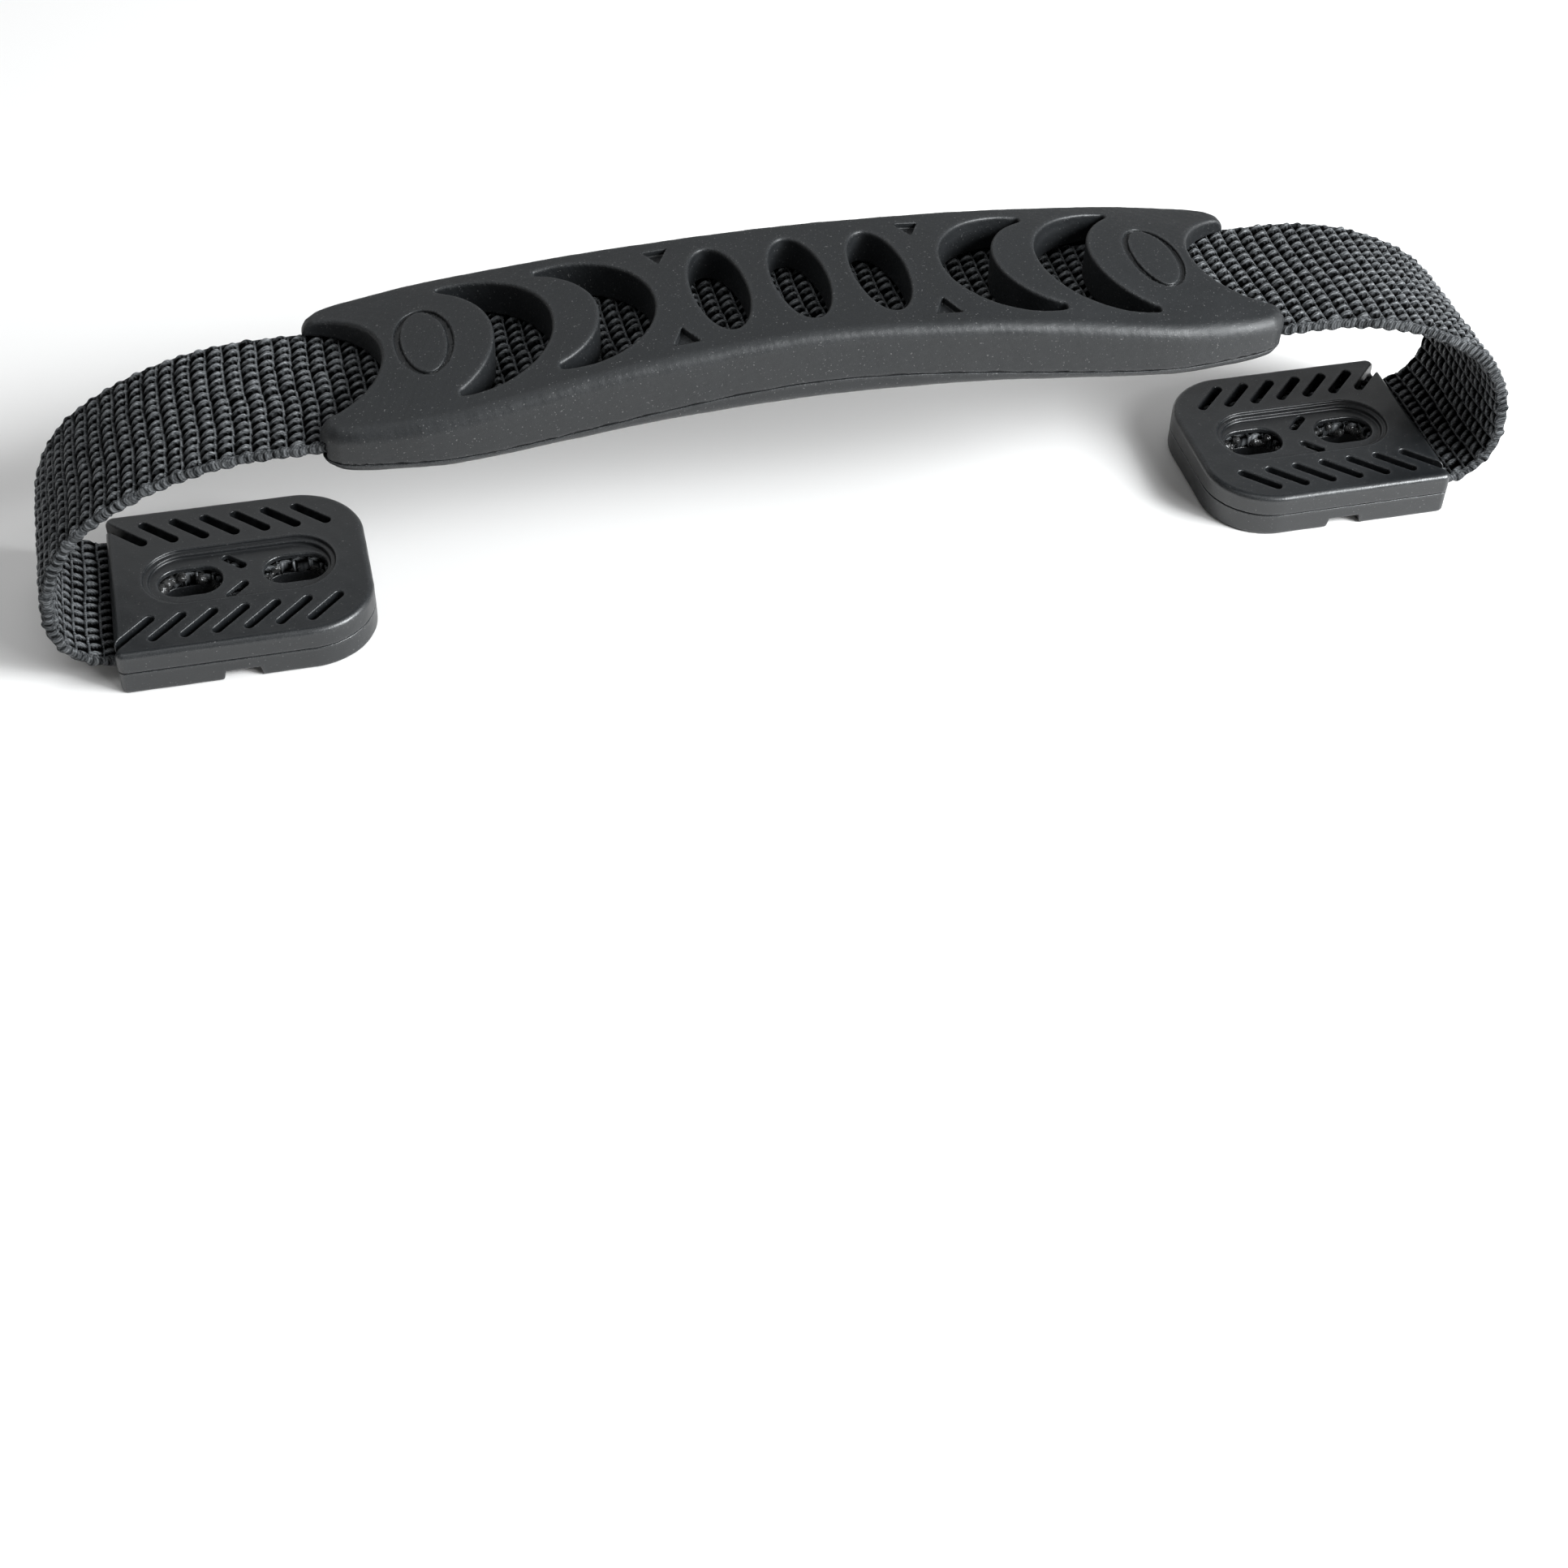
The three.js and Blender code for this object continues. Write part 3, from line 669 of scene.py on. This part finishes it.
def weave_relief(s, v, face):
    """Height of one face of the weave above the strap's middle, and the painted shade of each place,
    darkest in the pits and on the yarns' flanks where shade falls.
    Each warp yarn floats over one rib and dives under the next, fullest towards the right and
    swinging a little aside, and a thin weft thread crosses between the ribs; face is 1 above and -1
    below."""
    s = s + 0.16 * MM * np.sin(v / (3.1 * MM)) + 0.05 * MM * np.sin(v / (0.9 * MM) + s / (4 * MM))
    first = np.floor(v / WARP_PITCH)
    rib = np.round(s / WEFT_PITCH)
    height, painted_shade = np.full(s.shape, PIT_FLOOR), np.ones(s.shape)
    for offset in range(-2, 4):
        yarn = first + offset
        floats = (rib + yarn + (0 if face > 0 else 1)) % 2 == 0
        along = s / WEFT_PITCH - rib + 0.5
        climb = np.sin(math.pi / 2 * np.minimum(along / FLOAT_CREST, 1)) ** 0.8
        past_crest = np.maximum(along - FLOAT_CREST, 0) / (1 - FLOAT_CREST)
        dive = np.sqrt(np.maximum(1 - past_crest ** 2, 0))
        profile = climb * dive
        centre = (yarn + 0.5) * WARP_PITCH + face * WARP_SWING * (2 * along - 1)
        centre = centre + YARN_STRAY * yarn_noise(yarn + 31 * rib, 1 + face)
        fullness = 1 + YARN_FULLNESS * yarn_noise(yarn + 43 * rib, 5 + face)
        width = YARN_HALF_WIDTH * fullness * (0.35 + 0.65 * climb ** 0.7) * (0.7 + 0.3 * dive)
        round_off = 1 - ((v - centre) / width) ** 2
        rise = WARP_RISE * profile + YARN_LIFT * yarn_noise(yarn + 57 * rib, 2 + face)
        top = rise + YARN_HALF_THICK * (0.3 + 0.7 * profile) * np.maximum(round_off, 0) ** 0.5
        top = np.where((round_off > 0) & floats, top, PIT_FLOOR)
        # Painted shade: each yarn is painted darker towards its flanks and its dive, and left bright
        # only along its crest.
        shade = np.clip((0.8 - np.maximum(round_off, 0) * profile) / 0.6, 0, 1)
        painted_shade = np.where(top > height, shade, painted_shade)
        height = np.maximum(height, top)
    from_thread = (s / WEFT_PITCH - np.floor(s / WEFT_PITCH) - 0.5) * WEFT_PITCH / THREAD_HALF_WIDTH
    thread = THREAD_TOP - THREAD_HALF_WIDTH * (1 - np.sqrt(np.maximum(1 - from_thread ** 2, 0)))
    thread = np.where(np.abs(from_thread) < 1, thread, PIT_FLOOR)
    # The weft thread gets a middling painted shade that varies at random.
    painted_shade = np.where(thread > height, 0.3 + 0.25 * yarn_noise(first + 17 * rib, 9), painted_shade)
    crest_height = WARP_RISE + YARN_HALF_THICK
    depth = (crest_height - np.maximum(height, thread)) * (1 if face > 0 else INNER_DEPTH)
    return crest_height - depth, painted_shade


def strap_ring_places():
    """Places across the strap, closer together at the selvedges."""
    count = int(STRAP_WIDTH / ACROSS_STEP)
    edge = 1 - np.array([0.002, 0.006, 0.012])
    return np.unique(np.concatenate([np.linspace(-1, 1, count), edge, -edge]))


def strap_points(distance, across):
    """Points of both faces on a grid of distances by places across, with the selvedges rounded, each
    with its painted shade.
    """
    s, a = np.meshgrid(distance, across, indexing="ij")
    scallop = SELVEDGE_SCALLOP * np.abs(np.cos(math.pi * s / WEFT_PITCH + np.where(a > 0, 0.5, 0)))
    half = STRAP_WIDTH / 2 + scallop
    half = half + SELVEDGE_SWAY * np.sin(s / (5.3 * MM) + 2 * np.sign(a))
    v = a * half
    past = np.clip((np.abs(v) - half + SELVEDGE_INSET) / SELVEDGE_INSET, 0, 1)
    rim = np.sqrt(np.maximum(1 - past ** 2, 0))
    x, z, heading = course_at(s)
    faces = []
    for face in (1, -1):
        height, painted_shade = weave_relief(s, v, face)
        height = np.where(past > 0, rim * np.maximum(height, SELVEDGE_HEIGHT), height)
        # At the selvedges the painted shade is a pattern of loops and strands, darker where they dip.
        loops = np.sin(2 * math.pi * s / WEFT_PITCH + 0.8) ** 4 * (1 + 0.5 * np.sin(s / (1.7 * MM)))
        strands = np.sin(2 * math.pi * (s + 0.9 * past * WARP_PITCH) / WARP_PITCH + 5 * face) ** 2
        painted_shade = np.where(past > 0, 0.3 + 0.35 * past * loops + 0.35 * strands, painted_shade)
        away = face * height
        spot = np.stack([x - away * np.sin(heading), v, z + away * np.cos(heading)], -1)
        faces.append((spot, painted_shade, v))
    return faces


def punched(x, y):
    return np.minimum(*(obround(np.abs(x), y, cx, 0, PUNCHED_SIZE) for cx in HOLE_X))


def snap_to_hole(spots):
    """Moves points level with the plate onto the outline of the punched hole nearest to them."""
    for _ in range(3):
        x, y = spots[:, 0], spots[:, 1]
        nudge = 0.01 * MM
        away = punched(x, y)
        slope = np.stack([punched(x + nudge, y) - away, punched(x, y + nudge) - away], 1) / nudge
        spots[:, :2] -= away[:, None] * slope
    return spots


def strap_piece(name, start, end, holes=False):
    """One closed length of the strap between two signed distances from its middle."""
    count = int(round(abs(end - start) / ALONG_STEP)) + 1
    distance = np.linspace(start, end, count)
    across = strap_ring_places()
    (top, painted_shade_above, v), (bottom, painted_shade_below, _) = strap_points(distance, across)
    rows, columns = v.shape
    upper = np.arange(rows * columns).reshape(rows, columns)
    lower = upper + rows * columns
    lower[:, 0], lower[:, -1] = upper[:, 0], upper[:, -1]
    kept = np.ones((rows - 1, columns - 1), bool)
    if holes:
        middle = (top[:-1, :-1] + top[1:, 1:]) / 2
        in_loop = middle[..., 2] > PLATE_SPLIT + 2 * MM
        kept = (punched(middle[..., 0], middle[..., 1]) > 0) | in_loop
    walled = np.pad(kept, 1)
    faces = [np.stack([upper[:-1, :-1], upper[1:, :-1], upper[1:, 1:], upper[:-1, 1:]], -1)[kept],
             np.stack([lower[:-1, :-1], lower[:-1, 1:], lower[1:, 1:], lower[1:, :-1]], -1)[kept]]
    for here, there, shift in ((walled[1:, 1:-1], walled[:-1, 1:-1], (0, 1)),
                               (walled[1:-1, 1:], walled[1:-1, :-1], (1, 0))):
        one_u, two_u = upper[:rows - shift[0], :columns - shift[1]], upper[shift[0]:, shift[1]:]
        one_l, two_l = lower[:rows - shift[0], :columns - shift[1]], lower[shift[0]:, shift[1]:]
        wall = np.stack([one_u, two_u, two_l, one_l], -1)
        flip = shift == (1, 0)
        starts, stops = here & ~there, there & ~here
        faces.append(wall[starts][:, ::-1] if flip else wall[starts])
        faces.append(wall[stops] if flip else wall[stops][:, ::-1])
        if holes:
            rim = wall[(starts | stops)]
            rim = rim[np.abs(punched(*top.reshape(-1, 3)[rim[:, 0], :2].T)) < 0.4 * MM]
            spots = np.unique(rim[:, :2])
            top.reshape(-1, 3)[spots] = snap_to_hole(top.reshape(-1, 3)[spots])
            bottom.reshape(-1, 3)[spots] = snap_to_hole(bottom.reshape(-1, 3)[spots])
    faces = np.concatenate(faces)
    distinct = np.array([len(set(face)) == 4 for face in faces])
    points = np.concatenate([top.reshape(-1, 3), bottom.reshape(-1, 3)])
    painted_shade = np.concatenate([painted_shade_above.ravel(), painted_shade_below.ravel()])
    uv = np.stack([np.repeat(distance, columns), v.ravel()], -1) / MM
    used, compact = np.unique(faces[distinct], return_inverse=True)
    # The painted shade goes with each point as an attribute that darkens the yarn's colour.
    return make_object(name, points[used], compact.reshape(-1, 4), None, {"painted_shade": painted_shade[used]},
                       np.concatenate([uv, uv])[used])


# ---- melted webbing in the screw holes ----

def melted_webbing(cx, seed):
    """Lumps of strap melted back when the hole was punched, round the hole's wall."""
    rng = np.random.default_rng(seed)
    lumps = []
    straight = (PUNCHED_SIZE[0] - PUNCHED_SIZE[1]) / 2
    radius = HOLE_SIZE[1] / 2
    for i in range(LUMP_COUNT):
        angle = 2 * math.pi * (i + rng.uniform(-0.3, 0.3)) / LUMP_COUNT
        size = rng.uniform(*LUMP_SIZE) * MM
        reach = radius + 0.25 * MM - rng.uniform(0.1, 0.5) * size
        lx = cx + math.copysign(straight, math.cos(angle)) * min(1, 3 * abs(math.cos(angle)))
        place = (lx + reach * math.cos(angle), reach * math.sin(angle),
                 PLATE_SPLIT + rng.uniform(-LUMP_SPREAD_Z, LUMP_SPREAD_Z) * MM)
        lumps.append((place, size))

    def field(x, y, z):
        shape = None
        for (px, py, pz), size in lumps:
            ball = np.sqrt((x - px) ** 2 + (y - py) ** 2 + ((z - pz) / LUMP_FLATNESS) ** 2) - size
            shape = ball if shape is None else either(shape, ball, LUMP_JOIN)
        rough = shape + LUMP_ROUGHNESS * waver(x, y, z, 0.9 * MM, seed)
        return np.maximum(rough, obround(x, y, cx, 0, HOLE_SIZE) - 0.5 * MM)

    return field


# ---- materials ----

class Shader:
    """A small helper that adds and links nodes in one material."""

    def __init__(self, name):
        self.material = bpy.data.materials.new(name)
        self.material.use_nodes = True
        self.tree = self.material.node_tree
        self.surface = self.tree.nodes["Principled BSDF"]

    def node(self, kind, settings=None, **inputs):
        made = self.tree.nodes.new(kind)
        for key, value in (settings or {}).items():
            setattr(made, key, value)
        for key, value in inputs.items():
            self.feed(made.inputs[key.replace("_", " ")], value)
        return made

    def feed(self, socket, value):
        if isinstance(value, bpy.types.NodeSocket):
            self.tree.links.new(value, socket)
        else:
            socket.default_value = value

    def math(self, operation, a, b=0.0):
        made = self.node("ShaderNodeMath", {"operation": operation})
        self.feed(made.inputs[0], a)
        self.feed(made.inputs[1], b)
        return made.outputs[0]

    def spread(self, value, low, high, to_low=0.0, to_high=1.0):
        made = self.node("ShaderNodeMapRange", {}, Value=value, From_Min=low, From_Max=high,
                         To_Min=to_low, To_Max=to_high)
        return made.outputs["Result"]

    def mix(self, share, a, b):
        made = self.node("ShaderNodeMix", {"data_type": "RGBA"})
        self.feed(made.inputs["Factor"], share)
        self.feed(made.inputs["A"], a)
        self.feed(made.inputs["B"], b)
        return made.outputs["Result"]

    def noise(self, where, scale, detail=3.0, roughness=0.55):
        return self.node("ShaderNodeTexNoise", {}, Vector=where, Scale=scale, Detail=detail,
                         Roughness=roughness).outputs["Fac"]

    def bump(self, height, distance, strength=1.0, normal=None):
        made = self.node("ShaderNodeBump", {}, Height=height, Distance=distance, Strength=strength)
        if normal is not None:
            self.tree.links.new(normal, made.inputs["Normal"])
        return made.outputs["Normal"]


def grey(value, warmth=0.0):
    return (value * (1 + warmth), value, value * (1 - warmth), 1)


def moulded_material(name, base, roughness, shine, grain, grain_depth, dust):
    """Black moulded plastic or rubber: spark-eroded grain, soft blotches, rubbed edges and dust."""
    shader = Shader(name)
    where = shader.node("ShaderNodeTexCoord").outputs["Object"]
    wear = shader.node("ShaderNodeAttribute", {"attribute_name": "wear"}).outputs["Fac"]
    blotch = shader.noise(where, 90, 4)
    fine = shader.noise(where, 1 / grain, 2)
    speck = shader.noise(where, 1 / (0.28 * MM), 1)
    streak = shader.noise(shader.node("ShaderNodeMapping", {}, Vector=where,
                                      Scale=(0.15, 1, 1)).outputs[0], 500, 3)
    rubbed = shader.math("MULTIPLY", wear, shader.spread(fine, 0.42, 0.66))
    dusty = shader.math("MULTIPLY", shader.spread(speck, dust, dust + 0.04), 0.5)
    dark, light = grey(base * 0.88, -0.14), grey(base * 1.14, -0.14)
    colour = shader.mix(shader.spread(blotch, 0.3, 0.7), dark, light)
    colour = shader.mix(rubbed, colour, grey(base * 6, -0.04))
    colour = shader.mix(dusty, colour, grey(0.16, 0.01))
    shader.feed(shader.surface.inputs["Base Color"], colour)
    rough = shader.math("ADD", shader.spread(blotch, 0.3, 0.7, roughness - 0.05, roughness + 0.05),
                        shader.math("MULTIPLY", rubbed, -0.08))
    rough = shader.math("ADD", rough, shader.spread(streak, 0.35, 0.65, -0.02, 0.03))
    shader.feed(shader.surface.inputs["Roughness"], rough)
    shader.surface.inputs["Specular IOR Level"].default_value = shine
    relief = shader.bump(fine, grain_depth)
    relief = shader.bump(shader.noise(where, 1 / (grain * 4.5), 2), grain_depth * 2.2, 0.6, relief)
    relief = shader.bump(shader.math("MULTIPLY", wear, speck), 0.05 * MM, 0.8, relief)
    shader.feed(shader.surface.inputs["Normal"], relief)
    return shader.material


def webbing_material():
    """Black polypropylene yarn, with painted light: its filament streaks are painted light grey as
    painted glints on each float, and the pits between them are painted near black as painted shade.
    """
    shader = Shader("webbing_yarn")
    course = shader.node("ShaderNodeUVMap", {"uv_map": "course"}).outputs["UV"]
    where = shader.node("ShaderNodeTexCoord").outputs["Object"]
    # Painted shade from the weave, 0 on the crests and 1 in the pits.
    painted_shade = shader.node("ShaderNodeAttribute", {"attribute_name": "painted_shade"}).outputs["Fac"]
    turned = shader.node("ShaderNodeMapping", {}, Vector=course, Rotation=(0, 0, math.radians(-34)),
                         Scale=(0.35, 1.0, 1.0)).outputs[0]
    filament_and_painted_glint = shader.noise(turned, 6.5, 3, 0.6)
    ply = shader.node("ShaderNodeTexWave", {"bands_direction": "Y"}, Vector=turned, Scale=0.9,
                      Distortion=2.5, Detail=2.0, Detail_Scale=1.4).outputs["Fac"]
    tuft = shader.noise(course, 0.9, 2)
    blotch = shader.noise(where, 60, 3)
    # Painted glints: the black filaments are painted between near black and light grey, standing in
    # for the highlights that they catch.
    colour = shader.mix(shader.spread(filament_and_painted_glint, 0.35, 0.68), grey(0.025, -0.1), grey(0.28, -0.04))
    colour = shader.mix(shader.spread(blotch, 0.3, 0.7, 0, 0.35), colour, grey(0.045, -0.03))
    # Painted shade: the pits and the yarns' flanks are painted near black.
    colour = shader.mix(painted_shade, colour, grey(0.0012))
    shader.feed(shader.surface.inputs["Base Color"], colour)
    shader.feed(shader.surface.inputs["Roughness"], shader.spread(tuft, 0.3, 0.7, 0.40, 0.58))
    # Where the painted shade is dark the specular is taken away as well, so the pits look shaded.
    shine = shader.spread(filament_and_painted_glint, 0.35, 0.65, 0.1, 0.8)
    shine = shader.math("MULTIPLY", shine, shader.spread(painted_shade, 0, 0.6, 1, 0))
    shader.feed(shader.surface.inputs["Specular IOR Level"], shine)
    relief = shader.bump(filament_and_painted_glint, 0.09 * MM)
    relief = shader.bump(ply, 0.10 * MM, 0.8, relief)
    shader.feed(shader.surface.inputs["Normal"], relief)
    return shader.material


def melted_material():
    shader = Shader("melted_webbing")
    where = shader.node("ShaderNodeTexCoord").outputs["Object"]
    lumps = shader.noise(where, 900, 3)
    shader.feed(shader.surface.inputs["Base Color"],
                shader.mix(shader.spread(lumps, 0.35, 0.7), grey(0.006), grey(0.05)))
    shader.feed(shader.surface.inputs["Roughness"], shader.spread(lumps, 0.3, 0.7, 0.16, 0.34))
    shader.surface.inputs["Specular IOR Level"].default_value = 0.6
    shader.feed(shader.surface.inputs["Normal"], shader.bump(lumps, 0.15 * MM))
    return shader.material


# ---- assembly ----

def finish_piece(piece, material, body=None, replaced=()):
    """Gives a piece its material and body, and hides the model's nodes that it stands for."""
    piece.data.materials.append(material)
    if body:
        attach(piece, body)
    if replaced:
        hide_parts(*replaced)
    return piece


def add_grip(material):
    reach = (GRIP_END, GRIP_STATIONS[:, 1].max())
    top = GRIP_STATIONS[:, 2].max() - seam(GRIP_END)
    cover = moulded("grip_upper_shell", grip_cover, (-reach[0], -reach[1], -0.5 * MM),
                    (reach[0], reach[1], top), GRID_GRIP, lift=seam)
    finish_piece(cover, material, "grip", ["grip_cover"])
    bottom = GRIP_STATIONS[:, 4].min() - seam(0)
    base = moulded("grip_lower_shell", grip_base, (-reach[0], -reach[1], bottom),
                   (reach[0], reach[1], 0.5 * MM), GRID_GRIP, lift=seam)
    finish_piece(base, material, "grip", ["grip_base"])


def add_plates(material, melted):
    low, high = (PLATE_X[0], -PLATE_HALF_WIDTH), (PLATE_X[1], PLATE_HALF_WIDTH)
    for side, sign in (("right", 1), ("left", -1)):
        body = f"{side}_plate"
        cover = moulded(f"{side}_plate_upper_shell", plate_cover, (*low, PLATE_SPLIT),
                        (*high, PLATE_THICK), GRID_PLATE, sign)
        finish_piece(cover, material, body, [f"{side}_plate_cover"])
        base = moulded(f"{side}_plate_lower_shell", plate_base, (*low, 0), (*high, PLATE_SPLIT),
                       GRID_PLATE, sign)
        finish_piece(base, material, body, [f"{side}_plate_base"])
        for i, cx in enumerate(HOLE_X):
            seed = 3 + i + (5 if sign < 0 else 0)
            half = (HOLE_SIZE[0] / 2 + MM, HOLE_SIZE[1] / 2 + MM, 1.8 * MM)
            lumps = moulded(f"{side}_melted_rim_{i + 1}", melted_webbing(cx, seed),
                            (cx - half[0], -half[1], PLATE_SPLIT - half[2]),
                            (cx + half[0], half[1], PLATE_SPLIT + half[2]), GRID_LUMP, sign)
            finish_piece(lumps, melted, body)


def hinge_distance(name):
    """How far along the strap's course the right side's hinge of that name lies."""
    x, _, z = next(joint["pos_m"] for joint in frame["joints"] if joint["name"] == name)
    return distance_of(x, z)


def add_strap(material):
    upper = hinge_distance("right_upper_bend")
    lower = hinge_distance("right_lower_bend")
    joins = (distance_of(GRIP_JOIN_X, arch(GRIP_JOIN_X)), (upper + lower) / 2, COURSE[0][-1])
    middle = strap_piece("strap_in_grip", -joins[0], joins[0])
    finish_piece(middle, material, "grip", ["grip_strap"])
    for side, sign in (("right", 1), ("left", -1)):
        ends = sorted((sign * joins[0], sign * joins[1]))
        arm = strap_piece(f"{side}_strap_arm", *ends)
        finish_piece(arm, material, None, [f"{side}_loop_strap"])
        blend_across(arm)
        ends = sorted((sign * joins[1], sign * joins[2]))
        tail = strap_piece(f"{side}_strap_tail", *ends, holes=True)
        finish_piece(tail, material, None, [f"{side}_tail_strap"])
        blend_across(tail)


def blend_across(piece):
    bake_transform(piece)


add_camera()
add_studio()
rubber = moulded_material("grip_rubber_grain", base=0.008, roughness=0.50, shine=0.52,
                          grain=0.13 * MM, grain_depth=0.022 * MM, dust=0.7)
plastic = moulded_material("plate_plastic_satin", base=0.009, roughness=0.38, shine=0.75,
                           grain=0.16 * MM, grain_depth=0.010 * MM, dust=0.72)
add_grip(rubber)
add_plates(plastic, melted_material())
add_strap(webbing_material())
